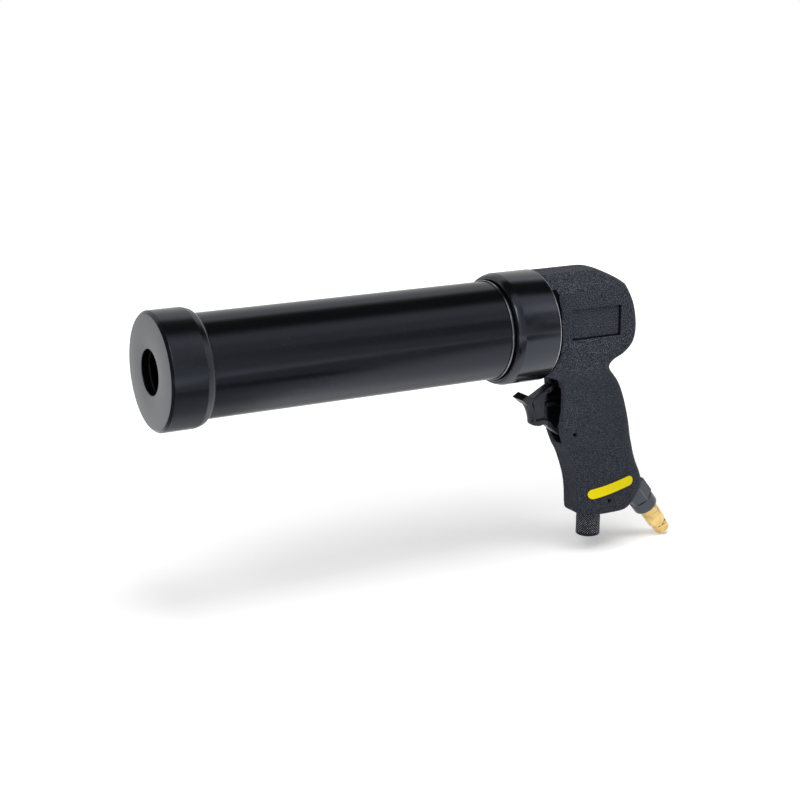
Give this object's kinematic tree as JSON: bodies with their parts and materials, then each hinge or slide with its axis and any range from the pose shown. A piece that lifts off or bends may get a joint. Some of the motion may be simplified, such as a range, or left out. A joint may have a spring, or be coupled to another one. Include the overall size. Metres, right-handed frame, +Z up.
{
  "type": "caulking gun",
  "caption": "Pneumatic caulking gun: closed cartridge barrel with screw cap, union nut, pistol grip with trigger valve, air regulator and hose plug.",
  "frame": {"origin": "centre of the bounding box in X and Y, at its lowest point", "axes": "+X back along the barrel, from the nozzle cap to the grip; +Z up; Y across, with the barrel's axis and the grip's middle plane in y = 0"},
  "size_m": [0.3384, 0.0644, 0.1764],
  "materials": {
    "cast": "dark grey speckled powder coat",
    "black_aluminium": "black anodised, polished",
    "cap_aluminium": "black anodised, satin",
    "trigger_plastic": "black moulded plastic, satin",
    "ring_plastic": "black moulded plastic",
    "rubber": "black, matt",
    "steel": "bright",
    "blued_steel": "blue-black",
    "brass": "polished",
    "label": "yellow film"
  },
  "bodies": {
    "gun_body": {"handle_casting": "cast", "grip_label": "label", "barrel_gasket": "rubber", "cartridge_seal": "rubber", "trigger_pin": "steel", "regulator_pin": "steel", "valve_bush": "brass", "stem_seal": "rubber", "valve_seat": "ring_plastic", "inlet_bushing": "blued_steel", "coupling_plug": "brass"},
    "trigger": {"trigger": "trigger_plastic"},
    "valve_stem": {"valve_stem": "steel", "poppet_seal": "rubber", "valve_spring": "steel"},
    "regulator": {"regulator_knob": "blued_steel", "regulator_seal_upper": "rubber", "regulator_seal_lower": "rubber"},
    "barrel": {"barrel_tube": "black_aluminium", "slip_ring": "ring_plastic", "snap_ring": "steel"},
    "union_nut": {"union_collar": "black_aluminium"},
    "cap_ring": {"cap_cushion": "rubber"},
    "cap": {"front_cap": "cap_aluminium"}
  },
  "joints": [
    {"name": "trigger_pivot", "type": "hinge", "parent": "gun_body", "child": "trigger", "pos_m": [0.08874, 0, 0.07752], "axis": [0, 1, 0], "range_deg": [0, 8], "stiffness_Nm_per_rad": 0.6, "springref_deg": -14.32},
    {"name": "valve_slide", "type": "slide", "parent": "gun_body", "child": "valve_stem", "axis": [1, 0, 0], "range_m": [0, 0.0025], "deforming": ["valve_spring"]},
    {"name": "regulator_turn", "type": "hinge", "parent": "gun_body", "child": "regulator", "pos_m": [0.10844, 0, 0.02532], "axis": [0, 0, 1], "range_deg": [0, 270]},
    {"name": "barrel_slide", "type": "slide", "parent": "gun_body", "child": "barrel", "axis": [-1, 0, 0], "range_m": [0, 0.05]},
    {"name": "union_nut_turn", "type": "hinge", "parent": "barrel", "child": "union_nut", "pos_m": [0.04984, 0, 0.14422], "axis": [1, 0, 0], "continuous": true},
    {"name": "cap_advance", "type": "slide", "parent": "barrel", "child": "cap_ring", "axis": [-1, 0, 0], "range_m": [0, 0.0101]},
    {"name": "cap_turn", "type": "hinge", "parent": "cap_ring", "child": "cap", "pos_m": [-0.15716, 0, 0.14422], "axis": [-1, 0, 0], "range_deg": [0, 1800]}
  ],
  "couplings": [
    {"joint": "valve_slide", "follows": "trigger_pivot", "m_per_rad": 0.0177},
    {"joint": "cap_advance", "follows": "cap_turn", "m_per_rad": 0.00031831}
  ]
}
